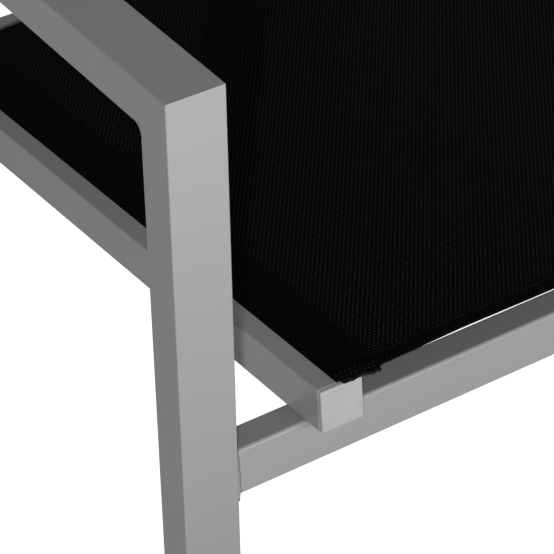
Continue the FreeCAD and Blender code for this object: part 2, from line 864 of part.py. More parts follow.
def hinge_screws(name, group, start, away, height):
    """Pan-head screws through the rails' outer walls into the spigots."""
    parts = []
    for side, sign in SIDES.items():
        for k, y in enumerate(screw_runs(start, away)):
            label = f"{name}_{side}_{k}"
            reach = beside(sign, *facing(sign, "plug_half - screw_length + 1", HALF))
            top = beside(sign, *facing(sign, HALF, f"{HALF} + screw_head"))
            shank = disc(label + "_shank", "screw_radius", reach, y, height)
            head = disc(label + "_head", "screw_head_radius", top, y, height)
            parts.append(fuse(label, [shank, head]))
    return place(group_of(name, parts), name, group)


BOLT_SEAT = "(-rail_size - crossbar_high)"  # the crossbars' undersides


def bolt_places(runs):
    for end, y in runs.items():
        for side, sign in SIDES.items():
            yield f"{side}_{end}", f"{sign} * {RAIL_X}", y


def seat_rail_bolts():
    """Bolts up through the crossbars: the front ones into rivet nuts, the rear ones into hinges."""
    parts = []
    under = f"{BOLT_SEAT} - washer_thick"
    for label, x, y in bolt_places({"front": FRONT_BOLT, "rear": REAR_BOLT}):
        shank = post(f"bolt_{label}_shank", "bolt_radius", (under, BOLT_TIP), x, y)
        tall = (f"{under} - bolt_head", under)
        head = post(f"bolt_{label}_head", "bolt_head_radius", tall, x, y)
        parts.append(fuse(f"bolt_{label}", [shank, head]))
    return place(group_of("seat_rail_bolts", parts), "seat_rail_bolts", "seat")


def seat_rail_washers():
    parts = []
    low = f"{BOLT_SEAT} - washer_thick"
    for label, x, y in bolt_places({"front": FRONT_BOLT, "rear": REAR_BOLT}):
        name = f"washer_{label}"
        plate = post(name + "_plate", "bolt_washer_radius", (low, BOLT_SEAT), x, y)
        hole = post(name + "_hole", "bolt_hole", (f"{low} - 1", f"{BOLT_SEAT} + 1"), x, y)
        parts.append(cut(name, plate, [hole]))
    return place(group_of("seat_rail_washers", parts), "seat_rail_washers", "seat")


def rivet_nuts():
    """Threaded inserts pulled into the seat rails' undersides, their collars inside the rail."""
    parts = []
    floor = "(-rail_size + rail_wall)"
    for label, x, y in bolt_places({"front": FRONT_BOLT}):
        name = f"rivet_{label}"
        long = ("-rail_size", f"{floor} + rivet_length")
        sleeve = post(name + "_sleeve", "rivet_radius", long, x, y)
        bulged = (floor, f"{floor} + rivet_bulge")
        bulge = post(name + "_bulge", "rivet_bulge_radius", bulged, x, y)
        bore = post(name + "_bore", "bolt_radius + thread_gap", ("-rail_size - 1", "0"), x, y)
        parts.append(cut(name, fuse(name + "_solid", [sleeve, bulge]), [bore]))
    return place(group_of("seat_rail_rivet_nuts", parts), "seat_rail_rivet_nuts", "seat")


# ---------------------------------------------------------------------------------------------
# Build
# ---------------------------------------------------------------------------------------------
BACK_RAIL_END = "back_length - cap_proud"
SEAT_SCREWS = screw_runs("seat_rail_end", -1)
BACK_SCREWS = screw_runs(BACK_RAIL_START, 1)
SEAT_BOLTS = ((FRONT_BOLT, "rivet_radius + running_gap"), (REAR_BOLT, "bolt_hole"))

for side, sign in SIDES.items():
    leg_x = f"{sign} * (overall_width - leg_width) / 2"
    rail_x = f"{sign} * {RAIL_X}"
    front_leg(side, leg_x)
    armrest(side, leg_x)
    rear_leg(side, leg_x)
    front_glide(side, leg_x)
    rear_glide(side, leg_x)
    slotted_rail(
        f"{side}_seat_rail",
        "seat",
        rail_x,
        "-rail_front",
        "seat_rail_end",
        "0",
        sign,
        SEAT_SCREWS,
        SEAT_BOLTS,
    )
    rail_cap(f"{side}_seat_rail_cap", "seat", rail_x, "-rail_front", -1, "0")
    keder_rod(f"{side}_seat_keder_rod", "seat", rail_x, "-sling_front", "seat_sling_end", "0")
    slotted_rail(
        f"{side}_back_rail",
        "back",
        rail_x,
        BACK_RAIL_START,
        BACK_RAIL_END,
        BACK_TOP,
        sign,
        BACK_SCREWS,
    )
    rail_cap(f"{side}_back_rail_cap", "back", rail_x, f"({BACK_RAIL_END})", 1, BACK_TOP)
    keder_rod(
        f"{side}_back_keder_rod", "back", rail_x, "back_sling_start", "back_sling_end", BACK_TOP
    )
    hinge_clevis(side, sign, rail_x)
    hinge_knuckle(side, sign, rail_x)
    pivot_bush(side, rail_x)
    pivot_bolt(side, sign, rail_x)
    pawl(side, rail_x)
    pawl_pin(side, rail_x)
    pawl_spring(side, rail_x)

crossbar("front_crossbar", "front_crossbar_run", "front_crossbar_deep")
crossbar("rear_crossbar", "rear_crossbar_run", "rear_crossbar_deep")
spreader("seat_rear_spreader", "seat", "seat_spreader_run", "-spreader_drop")
spreader("back_lower_spreader", "back", "lower_spreader_run", f"{BACK_TOP} - spreader_drop")
spreader("back_upper_spreader", "back", "upper_spreader_run", f"{BACK_TOP} - spreader_drop")
sling("seat_sling", "seat", "-sling_front", "seat_sling_end", "0")
sling("back_sling", "back", "back_sling_start", "back_sling_end", BACK_TOP)
pivot_washers()
pivot_nuts()
hinge_screws("seat_hinge_screws", "seat", "seat_rail_end", -1, screw_height("0"))
hinge_screws("back_hinge_screws", "back", BACK_RAIL_START, 1, screw_height(BACK_TOP))
seat_rail_bolts()
seat_rail_washers()
rivet_nuts()
doc.recompute()

# ---------------------------------------------------------------------------------------------
# Check and export
# ---------------------------------------------------------------------------------------------
failed = [o.Name for o in doc.Objects if {"Invalid", "Error"} & set(o.State)]
if failed:
    raise RuntimeError(f"objects that failed: {failed}")
for thing in nodes:
    if thing.Shape.isNull() or not thing.Shape.isValid() or not thing.Shape.Solids:
        raise RuntimeError(f"{thing.Label} has no valid solid")
os.makedirs("parts", exist_ok=True)
for thing in nodes:
    thing.Shape.exportStep(f"parts/{thing.Label}.step")
    print(thing.Label, len(thing.Shape.Solids), round(thing.Shape.Volume))
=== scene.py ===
import json
import math
import random

import bpy
from mathutils import Matrix, Vector


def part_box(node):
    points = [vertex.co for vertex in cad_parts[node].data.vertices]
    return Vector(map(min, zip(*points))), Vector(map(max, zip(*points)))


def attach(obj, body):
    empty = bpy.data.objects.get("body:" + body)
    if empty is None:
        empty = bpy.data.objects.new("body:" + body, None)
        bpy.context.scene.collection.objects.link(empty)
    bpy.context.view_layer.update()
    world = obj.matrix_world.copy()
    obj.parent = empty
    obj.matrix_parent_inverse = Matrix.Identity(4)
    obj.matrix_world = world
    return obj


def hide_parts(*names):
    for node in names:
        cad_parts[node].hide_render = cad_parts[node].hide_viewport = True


# Reclining sun lounger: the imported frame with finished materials, welds and two stretched slings.
# Metres, in the frame's own axes: +Z up, the sitter faces -Y, the viewer's left is -X.

MM = 0.001
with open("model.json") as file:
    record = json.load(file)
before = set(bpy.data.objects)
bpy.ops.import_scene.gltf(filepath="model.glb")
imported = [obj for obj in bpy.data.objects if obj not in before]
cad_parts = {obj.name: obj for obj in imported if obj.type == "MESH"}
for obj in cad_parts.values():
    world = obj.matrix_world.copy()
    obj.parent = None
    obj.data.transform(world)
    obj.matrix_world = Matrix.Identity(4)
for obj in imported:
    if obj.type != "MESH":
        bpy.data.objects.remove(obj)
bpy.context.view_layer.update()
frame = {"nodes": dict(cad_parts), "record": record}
nodes = frame["nodes"]
slot_of = {part["node"]: part["material_slot"] for part in frame["record"]["subparts"]}
SIDES = {"left": -1, "right": 1}

# ---------------------------------------------------------------------------------------------
# Driving dimensions that the frame doesn't give
# ---------------------------------------------------------------------------------------------
# Tubes
SEAT_TILT = math.radians(-4.4)
BACK_TILT = math.radians(50)
RAKE = math.radians(14)  # rear legs, from the vertical
LEG_DEPTH = 30 * MM
EDGE_ROUND = 1 * MM  # side frames
CROSS_ROUND = 2.5 * MM  # crossbars and spreaders

# Slings: the cloth and its weave
CLOTH = 0.6 * MM
LAYER = 0.66 * MM  # from one layer to the next where they lie on each other
ON_FACE = CLOTH * 0.6  # from a face to the middle of the cloth that lies on it
WEAVE_ACROSS = 1.82 * MM  # from yarn to yarn
WEAVE_ALONG = 2.48 * MM

# Slings: hems and stitches
SIDE_HEM = 34.5 * MM
END_HEM = 12 * MM
END_FOLD = LAYER * 0.75  # radius of an end hem's fold
SEAM = 1.6 * MM  # from a hem's edge to its stitches
SEAM_REACH = 1.3 * MM  # of the finer mesh on both sides of the stitches
DIMPLE = 0.22 * MM  # how far the stitches pull the cloth in
DIMPLE_REACH = 0.7 * MM
STITCH = 2.8 * MM
THREAD = 0.24 * MM  # radius

# Slings: how they give between the rails
SEAT_SAG = 3.5 * MM
BACK_SAG = 4.5 * MM
END_SAG = 0.05  # share of the sag that is left at the ends
BOW = 1.9 * MM  # how far an end's middle stands out past its corners
HANG = 3 * MM  # of an end just inside the rails
HANG_START = 9 * MM  # from the rail to where the end hangs fully
HANG_FADE = 95 * MM  # from the rail to where it no longer does
HANG_REACH = 45 * MM  # along the rails, from the end
HEM_SETTLE = END_HEM * 1.3  # from an end, to where its extra layers no longer lift the cloth
RIPPLE = 0.10 * MM

# Welds
CORNER_WELD = 8 * MM  # radius
BAR_WELD = 3.2 * MM
BAR_WELD_UNDER = 4.5 * MM
SPREADER_WELD = 2 * MM

# Camera, from the foot of the left front leg
CAMERA_PLACE = Vector((-0.6054, -1.0563, 1.3968))
CAMERA_HEADING = math.radians(32.706)  # from straight back, towards the lounger's right
CAMERA_DIP = math.radians(36.46)
CAMERA_ROLL = math.radians(-1.053)
CAMERA_LENS = 166  # mm, on a 36 mm sensor

# Lights and stage
LIT = (0, -0.2, 0.4)  # what the two boxes point at
FRONT_WATTS = 79
BACK_WATTS = 60
KEY_STRENGTH = 1.74
KEY_HEADING = math.radians(35)  # from straight ahead, towards the lounger's left
KEY_HEIGHT = math.radians(18)
KEY_SOFTNESS = math.radians(3.5)  # how wide the sun looks
SKY = 0.122
FLAG_AHEAD = 1.6  # from the frame's origin
FLAG_WIDTH = 8
FLAG_TOP = 0.63
STAGE_RADIUS = 9
BACKDROP_RADIUS = 9.5
FLOOR_GLOW = 0.95
FLOOR_MIRRORED = 0.5  # how bright the floor is where the paint mirrors it

# Paint and yarn, as shares of white
PAINT = 0.325
# The colour painted on the mesh's yarn crowns as their highlight; the yarn's own black is YARN_GAP
YARN_HIGHLIGHT = 0.053
YARN_GAP = 0.0008
STITCH_BLACK = 0.0045


# ---------------------------------------------------------------------------------------------
# The tilted frames of the seat and the back: x across, u along the rails, w square to them
# ---------------------------------------------------------------------------------------------
class Plane:
    """Turns places between a tilted frame and the CAD's own."""

    def __init__(self, tilt):
        self.turn = Matrix.Rotation(tilt, 3, "X")
        self.back = self.turn.inverted()

    def at(self, x, u, w):
        return self.turn @ Vector((x, u, w))

    def extent(self, node):
        """Lowest and highest corner of a CAD node in this frame."""
        points = [self.back @ v.co for v in nodes[node].data.vertices]
        low = Vector([min(p[k] for p in points) for k in range(3)])
        high = Vector([max(p[k] for p in points) for k in range(3)])
        return low, high


SEAT = Plane(SEAT_TILT)
BACK = Plane(BACK_TILT)


# ---------------------------------------------------------------------------------------------
# Camera, lights and the studio
# ---------------------------------------------------------------------------------------------
def make_camera():
    """Above and ahead of the front left corner, looking down past the armrest."""
    data = bpy.data.cameras.new("camera")
    data.sensor_width = 36
    data.lens = CAMERA_LENS
    data.clip_start = 0.05
    data.clip_end = 60
    camera = bpy.data.objects.new("camera", data)
    heading = Matrix.Rotation(-CAMERA_HEADING, 4, "Z")
    dip = Matrix.Rotation(math.pi / 2 - CAMERA_DIP, 4, "X")
    roll = Matrix.Rotation(CAMERA_ROLL, 4, "Z")
    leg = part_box("left_front_leg")[0]
    place = Matrix.Translation(Vector((leg.x, leg.y, 0)) + CAMERA_PLACE)
    camera.matrix_world = place @ heading @ dip @ roll
    bpy.context.scene.collection.objects.link(camera)
    bpy.context.scene.camera = camera


def aimed(name, data, place, target):
    """A lamp that points from its place at a target."""
    lamp = bpy.data.objects.new(name, data)
    lamp.location = place
    lamp.rotation_mode = "QUATERNION"
    lamp.rotation_quaternion = (Vector(target) - Vector(place)).to_track_quat("-Z", "Y")
    bpy.context.scene.collection.objects.link(lamp)
    return lamp


def soft_box(name, place, size, watts):
    """A rectangular area lamp that points at the lounger."""
    data = bpy.data.lights.new(name, "AREA")
    data.shape = "RECTANGLE"
    data.size, data.size_y = size
    data.energy = watts
    return aimed(name, data, place, LIT)


def make_key():
    """A low sun from ahead and from the lounger's left."""
    data = bpy.data.lights.new("key", "SUN")
    data.energy = KEY_STRENGTH
    data.angle = KEY_SOFTNESS
    level = math.cos(KEY_HEIGHT)
    across, ahead = -math.sin(KEY_HEADING) * level, -math.cos(KEY_HEADING) * level
    distance = 6  # only its direction counts
    aimed("key", data, Vector((across, ahead, math.sin(KEY_HEIGHT))) * distance, (0, 0, 0))


def make_flag():
    """An upright card ahead of the lounger, unseen, that shades the lower parts from the front."""
    bpy.ops.mesh.primitive_plane_add(size=1, location=(0, -FLAG_AHEAD, FLAG_TOP / 2))
    flag = bpy.context.object
    flag.name = "flag"
    flag.scale = (FLAG_WIDTH, FLAG_TOP, 1)
    flag.rotation_euler = (math.pi / 2, 0, 0)
    flag.visible_camera = False
    flag.visible_diffuse = False
    flag.visible_glossy = False


def make_lights():
    soft_box("front_box", place=(0.1, -3.15, 1.02), size=(2.4, 1.2), watts=FRONT_WATTS)
    back = soft_box("back_box", place=(2.2, 3.2, 0.85), size=(2.0, 1.4), watts=BACK_WATTS)
    back.visible_glossy = False
    make_key()
    make_flag()


def make_world():
    """A faint even sky, and colours shown as they are."""
    world = bpy.data.worlds.new("studio")
    world.use_nodes = True
    background = world.node_tree.nodes["Background"]
    background.inputs["Color"].default_value = (0.97, 0.985, 1.0, 1)
    background.inputs["Strength"].default_value = SKY
    bpy.context.scene.world = world
    bpy.context.scene.view_settings.view_transform = "Standard"


# ---------------------------------------------------------------------------------------------
# Materials
# ---------------------------------------------------------------------------------------------
class Graph:
    """A material's nodes, with a short call for each kind that the looks are made of."""

    def __init__(self, name):
        self.material = bpy.data.materials.new(name)
        self.material.use_nodes = True
        self.tree = self.material.node_tree
        self.shader = self.tree.nodes["Principled BSDF"]

    def node(self, kind, **settings):
        made = self.tree.nodes.new(kind)
        for key, value in settings.items():
            setattr(made, key, value)
        return made

    def feed(self, socket, value):
        """Links a node's output to a socket, or sets the socket to a number or colour."""
        if isinstance(value, bpy.types.NodeSocket):
            self.tree.links.new(value, socket)
        else:
            socket.default_value = value

    def place(self):
        """The place on the object, in metres."""
        return self.node("ShaderNodeTexCoord").outputs["Object"]

    def attribute(self, name):
        """What a mesh holds at each of its points under a name."""
        return self.node("ShaderNodeAttribute", attribute_name=name)

    def maths(self, operation, *values):
        made = self.node("ShaderNodeMath", operation=operation)
        for socket, value in zip(made.inputs, values):
            self.feed(socket, value)
        return made.outputs[0]

    def spread(self, value, low, high, to_low, to_high, smooth=False):
        """Maps low to high onto to_low to to_high, and holds it there past both ends."""
        made = self.node("ShaderNodeMapRange")
        made.interpolation_type = "SMOOTHSTEP" if smooth else "LINEAR"
        for socket, given in zip(made.inputs, (value, low, high, to_low, to_high)):
            self.feed(socket, given)
        return made.outputs[0]

    def noise(self, where, scale, detail, rough=0.5):
        made = self.node("ShaderNodeTexNoise")
        self.feed(made.inputs["Vector"], where)
        made.inputs["Scale"].default_value = scale
        made.inputs["Detail"].default_value = detail
        made.inputs["Roughness"].default_value = rough
        return made.outputs["Fac"]

    def stretched(self, where, scale):
        """A place with each of its axes scaled on its own."""
        made = self.node("ShaderNodeVectorMath", operation="MULTIPLY")
        self.feed(made.inputs[0], where)
        made.inputs[1].default_value = scale
        return made.outputs[0]

    def mix(self, share, first, second, kind="Color"):
        """Goes from the first to the second, which are colours, or numbers where kind is Float."""
        made = self.node("ShaderNodeMix", data_type={"Color": "RGBA", "Float": "FLOAT"}[kind])
        sockets = {socket.identifier: socket for socket in [*made.inputs, *made.outputs]}
        self.feed(sockets["Factor_Float"], share)
        self.feed(sockets[f"A_{kind}"], first)
        self.feed(sockets[f"B_{kind}"], second)
        return sockets[f"Result_{kind}"]

    def bump(self, height, distance, strength):
        made = self.node("ShaderNodeBump")
        made.inputs["Distance"].default_value = distance
        made.inputs["Strength"].default_value = strength
        self.feed(made.inputs["Height"], height)
        return made.outputs["Normal"]

    def edges(self, radius):
        """0 on flat faces, rising towards 1 along outer and inner edges."""
        rounded = self.node("ShaderNodeBevel", samples=4)
        rounded.inputs["Radius"].default_value = radius
        plain = self.node("ShaderNodeNewGeometry").outputs["Normal"]
        dot = self.node("ShaderNodeVectorMath", operation="DOT_PRODUCT")
        self.feed(dot.inputs[0], rounded.outputs[0])
        self.feed(dot.inputs[1], plain)
        return self.spread(dot.outputs["Value"], 0.995, 0.85, 0.0, 1.0)

    def finish(self, **inputs):
        """Feeds the shader's sockets; a name's underscores stand for the spaces in a socket's."""
        for name, value in inputs.items():
            self.feed(self.shader.inputs[name.replace("_", " ")], value)
        return self.material


def grey(level, tint=(1, 1, 1)):
    """A colour as a share of white, with a slight cast of its own."""
    return (level * tint[0], level * tint[1], level * tint[2], 1)


def frame_paint():
    """Smooth satin powder coat: faint clouds, fine orange peel and slightly worn edges."""
    g = Graph("frame_paint")
    where = g.place()
    clouds = g.noise(where, 7, 2)
    peel = g.noise(where, 620, 2)
    rubbed = g.noise(where, 55, 3)
    tint = (0.985, 1.0, 0.985)
    body = g.mix(g.spread(clouds, 0.3, 0.7, 0, 1), grey(PAINT, tint), grey(PAINT * 1.03, tint))
    worn = g.maths("MULTIPLY", g.edges(0.9 * MM), g.spread(rubbed, 0.42, 0.62, 0.05, 0.25))
    body = g.mix(worn, body, grey(PAINT * 1.25, (1, 1, 1.01)))
    gloss = g.spread(rubbed, 0.3, 0.7, 0.31, 0.35)
    normal = g.bump(peel, 0.03 * MM, 0.25)
    return g.finish(Base_Color=body, Roughness=gloss, Normal=normal, IOR=1.5)


def hinge_casting():
    """Die-cast aluminium under a thin grey coat: fine grain, rubbed brighter along its edges."""
    g = Graph("hinge_casting")
    where = g.place()
    grain = g.noise(where, 1400, 3, 0.6)
    clouds = g.noise(where, 40, 3)
    body = g.mix(g.spread(clouds, 0.3, 0.7, 0, 1), grey(0.16), grey(0.21))
    body = g.mix(g.maths("MULTIPLY", g.edges(0.8 * MM), 0.6), body, grey(0.42))
    gloss = g.spread(grain, 0.3, 0.7, 0.38, 0.55)
    return g.finish(
        Base_Color=body, Roughness=gloss, Metallic=0.35, Normal=g.bump(grain, 0.12 * MM, 0.5)
    )


def moulded(name, level, tint, rough):
    """Moulded plastic with a fine spark-eroded texture and rubbed edges."""
    g = Graph(name)
    where = g.place()
    texture = g.noise(where, 1700, 2)
    clouds = g.noise(where, 60, 3)
    low, high = grey(level * 0.94, tint), grey(level * 1.05, tint)
    body = g.mix(g.spread(clouds, 0.3, 0.7, 0, 1), low, high)
    lighter = grey(min(1.0, level * 1.25 + 0.01), tint)
    body = g.mix(g.maths("MULTIPLY", g.edges(0.5 * MM), 0.5), body, lighter)
    gloss = g.spread(texture, 0.3, 0.7, rough - 0.05, rough + 0.07)
    return g.finish(Base_Color=body, Roughness=gloss, Normal=g.bump(texture, 0.05 * MM, 0.4))


def hardware_steel():
    """Zinc-plated steel: turned marks, a slight yellow haze and brighter edges."""
    g = Graph("hardware_steel")
    where = g.place()
    turned = g.noise(g.stretched(where, (1, 14, 14)), 420, 2)
    haze = g.noise(where, 130, 3)
    body = g.mix(g.spread(haze, 0.35, 0.65, 0, 1), grey(0.52, (1, 0.98, 0.93)), grey(0.63))
    body = g.mix(g.maths("MULTIPLY", g.edges(0.4 * MM), 0.7), body, grey(0.78))
    gloss = g.spread(turned, 0.3, 0.7, 0.22, 0.4)
    return g.finish(
        Base_Color=body, Roughness=gloss, Metallic=1.0, Normal=g.bump(turned, 0.03 * MM, 0.4)
    )


def weave(g, where):
    """A plain weave's height, from 0 in the holes to 1 on the yarns' crowns, and its warp's crowns,
    where the mesh's highlights are painted.
    """
    split = g.node("ShaderNodeSeparateXYZ")
    g.feed(split.inputs[0], where)
    across = g.maths("SINE", g.maths("MULTIPLY", split.outputs[0], math.pi / WEAVE_ACROSS))
    along = g.maths("SINE", g.maths("MULTIPLY", split.outputs[1], math.pi / WEAVE_ALONG))
    warp, weft = g.maths("ABSOLUTE", across), g.maths("ABSOLUTE", along)
    warp_over = g.maths("GREATER_THAN", g.maths("MULTIPLY", across, along), 0)
    crowns = []
    for top, side in ((warp, weft), (weft, warp)):
        rounded = g.maths("POWER", top, 0.6)
        crowns.append(g.maths("MULTIPLY", rounded, g.spread(side, 0, 1, 0.35, 1)))
    warp_crown, weft_crown = crowns
    height = g.mix(warp_over, weft_crown, warp_crown, kind="Float")
    # Where the painted highlights go: the warp's crowns, where the warp lies over the weft
    dots = g.maths("MULTIPLY", g.spread(warp_crown, 0.7, 0.97, 0, 1, smooth=True), warp_over)
    return height, dots


def sling_fabric():
    """Black coated-yarn mesh, with highlights painted on the warp's crowns and dimmed on the doubled
    hems.
    """
    g = Graph("sling_fabric")
    where = g.attribute("weave").outputs["Vector"]
    hem = g.attribute("hem").outputs["Fac"]
    height, dots = weave(g, where)
    uneven = g.noise(g.stretched(where, (1, 9, 1)), 60, 3)
    bars = g.noise(g.stretched(where, (0.15, 1, 1)), 240, 2)
    # Painted highlights: the warp's crowns are painted lighter, less so on the doubled hems so these
    # look darker, and unevenly over the cloth
    lift = g.maths("MULTIPLY", dots, g.spread(hem, 0, 1, 1.0, 0.22))
    lift = g.maths("MULTIPLY", lift, g.spread(g.maths("ADD", uneven, bars), 0.7, 1.3, 0.45, 1.0))
    body = g.mix(lift, grey(YARN_GAP), grey(YARN_HIGHLIGHT, (1, 1, 1.02)))
    gloss = g.spread(dots, 0, 1, 0.75, 0.5)
    normal = g.bump(height, 0.35 * MM, 0.9)
    return g.finish(
        Base_Color=body, Roughness=gloss, Specular_IOR_Level=0.08, Normal=normal, IOR=1.45
    )


def sewing_thread():
    """Twisted bonded thread in the mesh's black."""
    g = Graph("sewing_thread")
    where = g.place()
    twist = g.node("ShaderNodeTexWave", bands_direction="DIAGONAL")
    g.feed(twist.inputs["Vector"], where)
    twist.inputs["Scale"].default_value = 900
    body = g.mix(twist.outputs["Fac"], grey(YARN_GAP), grey(STITCH_BLACK))
    fuzz = g.noise(where, 3000, 2)
    gloss = g.spread(fuzz, 0.3, 0.7, 0.45, 0.65)
    normal = g.bump(twist.outputs["Fac"], 0.08 * MM, 0.6)
    return g.finish(Base_Color=body, Roughness=gloss, Specular_IOR_Level=0.2, Normal=normal)


def glowing(name, strength, level):
    """A stage surface that gives off its own even light."""
    g = Graph(name)
    speckle = g.noise(g.place(), 14, 3)
    body = g.mix(speckle, grey(level), grey(level * 1.07))
    return g.finish(
        Base_Color=body,
        Roughness=0.9,
        Emission_Color=(1, 1, 1, 1),
        Emission_Strength=strength,
    )


def backdrop_paint():
    """Almost white, with slow uneven patches."""
    g = Graph("backdrop_paint")
    fade = g.noise(g.place(), 0.2, 1)
    glow = g.spread(fade, 0.3, 0.7, 0.93, 0.97)
    return g.finish(
        Base_Color=(0, 0, 0, 1),
        Roughness=1.0,
        Emission_Color=(1, 1, 1, 1),
        Emission_Strength=glow,
    )


def make_materials():
    """A finished material for each of the record's slots, and one for the slings' thread."""
    return {
        "frame_paint": frame_paint(),
        "hinge_casting": hinge_casting(),
        "cap_plastic": moulded("cap_plastic", 0.43, (0.985, 0.995, 1.02), 0.36),
        "glide_plastic": moulded("glide_plastic", 0.03, (1, 1, 1), 0.5),
        "welt_plastic": moulded("welt_plastic", 0.02, (1, 1, 1), 0.45),
        "bush_plastic": moulded("bush_plastic", 0.62, (1, 0.99, 0.94), 0.5),
        "hardware_steel": hardware_steel(),
        "sling_fabric": sling_fabric(),
        "sewing_thread": sewing_thread(),
    }


# ---------------------------------------------------------------------------------------------
# Mesh helpers
# ---------------------------------------------------------------------------------------------
def new_mesh(name, points, faces, material):
    """A smooth-shaded object made of points and faces."""
    data = bpy.data.meshes.new(name)
    data.from_pydata([tuple(p) for p in points], [], faces)
    data.validate()
    data.materials.append(material)
    for face in data.polygons:
        face.use_smooth = True
    made = bpy.data.objects.new(name, data)
    bpy.context.scene.collection.objects.link(made)
    return made


def grid_faces(rows, columns, first=0, closed=False, looped=False):
    """Quads between neighbouring rows of points, the first of which is point number first.

    closed joins each row's last point to its first, and looped joins the last row to the first.
    """
    faces = []
    for r in range(rows if looped else rows - 1):
        for c in range(columns if closed else columns - 1):
            d = (c + 1) % columns
            a, b = first + r * columns, first + (r + 1) % rows * columns
            faces.append((a + c, a + d, b + d, b + c))
    return faces


def tube(rings, points, faces):
    """Adds a closed tube through rings of points, with one flat face over each end."""
    first, count = len(points), len(rings[0])
    for circle in rings:
        points.extend(circle)
    faces.extend(grid_faces(len(rings), count, first, closed=True))
    last = first + (len(rings) - 1) * count
    faces.append(tuple(range(first + count - 1, first - 1, -1)))
    faces.append(tuple(range(last, last + count)))


def ring(centre, axis, radius, count):
    """Points of a circle about an axis."""
    side = axis.orthogonal().normalized()
    other = axis.cross(side).normalized()
    angles = [2 * math.pi * k / count for k in range(count)]
    return [centre + (side * math.cos(a) + other * math.sin(a)) * radius for a in angles]


def add_floats(piece, name, values):
    """Gives each of a mesh's points a number that its material can read by name."""
    layer = piece.data.attributes.new(name, "FLOAT", "POINT")
    layer.data.foreach_set("value", values)


def add_vectors(piece, name, values):
    """The same with three numbers."""
    layer = piece.data.attributes.new(name, "FLOAT_VECTOR", "POINT")
    layer.data.foreach_set("vector", [v for triple in values for v in triple])


def thicken(piece, thickness):
    """Gives a sheet its thickness, half of it on each side."""
    thick = piece.modifiers.new("thickness", "SOLIDIFY")
    thick.thickness = thickness
    thick.offset = 0


def belongs(piece, body):
    """Says which moving body a piece rides on."""
    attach(piece, body)


# ---------------------------------------------------------------------------------------------
# Slings
# ---------------------------------------------------------------------------------------------
def arc(centre_x, centre_y, radius, start, end, count):
    """Points of an arc, angles in degrees, both ends included."""
    angles = [math.radians(start + (end - start) * k / (count - 1)) for k in range(count)]
    return [(centre_x + radius * math.cos(a), centre_y + radius * math.sin(a)) for a in angles]


def runs(start, end, count):
    """Evenly spaced values after start, up to and with end."""
    return [start + (end - start) * (k + 1) / count for k in range(count)]


def side_path(rod_drop, rod_radius):
    """A side of the sling: from under its hem, down the slot, round the rod and over the top.

    Pairs of (distance in from the slot's middle, height over the rail's top), outside in.
    """
    lower, upper = ON_FACE, ON_FACE + LAYER
    neck = 0.5 * MM  # from the slot's middle to each layer that passes it
    inner_bend, outer_bend = 1.5 * MM, 1.6 * MM  # radii, over the slot's edge
    inner_flat, outer_flat = 2.2 * MM, 1.8 * MM  # where each layer lies flat again
    before_seam = SIDE_HEM - 3 * MM
    loop = rod_radius + ON_FACE
    open_angle = math.degrees(math.asin(neck / loop))
    path = [(SIDE_HEM, lower)]
    path += [(d, lower) for d in runs(SIDE_HEM, inner_flat, 8)]
    path += arc(neck + inner_bend, lower - inner_bend, inner_bend, 100, 170, 4)
    path += arc(0, -rod_drop, loop, 90 - open_angle, 90 + open_angle - 360, 18)
    path += [(-neck, -1.6 * MM), (-neck, -0.6 * MM)]
    path += arc(outer_bend - neck, upper - outer_bend, outer_bend, 170, 95, 5)
    path += [(d, upper) for d in runs(outer_flat, before_seam, 7)]
    return path


def by_seam(seam):
    """Five values close together, across a line of stitches."""
    return [seam + SEAM_REACH * (2 * k / 4 - 1) for k in range(5)]


def pulled_in(distance):
    """1 on a line of stitches, falling to 0 away from it."""
    return math.exp(-((distance / DIMPLE_REACH) ** 2))


def walked(path):
    """How far along a path each of its points lies."""
    lengths = [0]
    for here, there in zip(path, path[1:]):
        lengths.append(lengths[-1] + math.dist(here, there))
    return lengths


def eased(value):
    """0 below 0, 1 above 1 and a soft step between."""
    held = min(1.0, max(0.0, value))
    return held * held * (3 - 2 * held)


def ripple(x, u):
    """A faint unevenness of the cloth between the rails."""
    return RIPPLE * math.sin(x * 37 + u * 21) * math.sin(u * 57 + 1.3)


class Span:
    """Where a sling's cloth is: its two slots, its ends and how it gives between the rails."""

    def __init__(self, plane, node, rails, sag):
        left, right = (plane.extent(n) for n in rails)
        rod_low, rod_high = plane.extent(rails[0].replace("rail", "keder_rod"))
        cloth_low, cloth_high = plane.extent(node)
        self.plane, self.sag = plane, sag
        self.top = left[1].z
        self.slot = (right[0].x + right[1].x) / 2
        self.rail_inner = right[0].x
        self.start, self.end = cloth_low.y, cloth_high.y
        self.length = self.end - self.start
        self.rod_radius = (rod_high.z - rod_low.z) / 2
        self.rod_drop = self.top - (rod_high.z + rod_low.z) / 2

    def give(self, x, u):
        """How far the cloth sinks there, and how far it bows towards its front end."""
        inside = max(0.0, 1 - (x / self.rail_inner) ** 2)
        share = min(1.0, max(0.0, (u - self.start) / self.length))
        lengthwise = END_SAG + (1 - END_SAG) * math.sin(math.pi * share)
        depth = self.sag * inside ** 0.8 * lengthwise
        bow = BOW * inside * (1 - 2 * share)
        past_rail = self.rail_inner - abs(x)
        hang = eased(past_rail / HANG_START) * (1 - eased(past_rail / HANG_FADE))
        hang *= 1 - eased(min(u - self.start, self.end - u) / HANG_REACH)
        return depth + HANG * hang, bow


def sling_rows(span):
    """The cloth's rows, front to rear: each one's (u, height), with a folded hem at each end."""
    start, end = span.start, span.end
    front = [(start + END_HEM, -2 * END_FOLD)]
    front += [(u, -2 * END_FOLD) for u in runs(start + END_HEM, start + END_FOLD, 6)]
    front += arc(start + END_FOLD, -END_FOLD, END_FOLD, 250, 110, 6)
    front += [(u, 0) for u in runs(start + END_FOLD, start + END_HEM - 3.2 * MM, 4)]
    front += [(start + d, 0) for d in by_seam(END_HEM - SEAM)]
    rear = [(start + end - u, w) for u, w in reversed(front)]
    count = round((rear[0][0] - front[-1][0]) / (5 * MM))
    middle = [(u, 0) for u in runs(front[-1][0], rear[0][0], count)[:-1]]
    return front + middle + rear


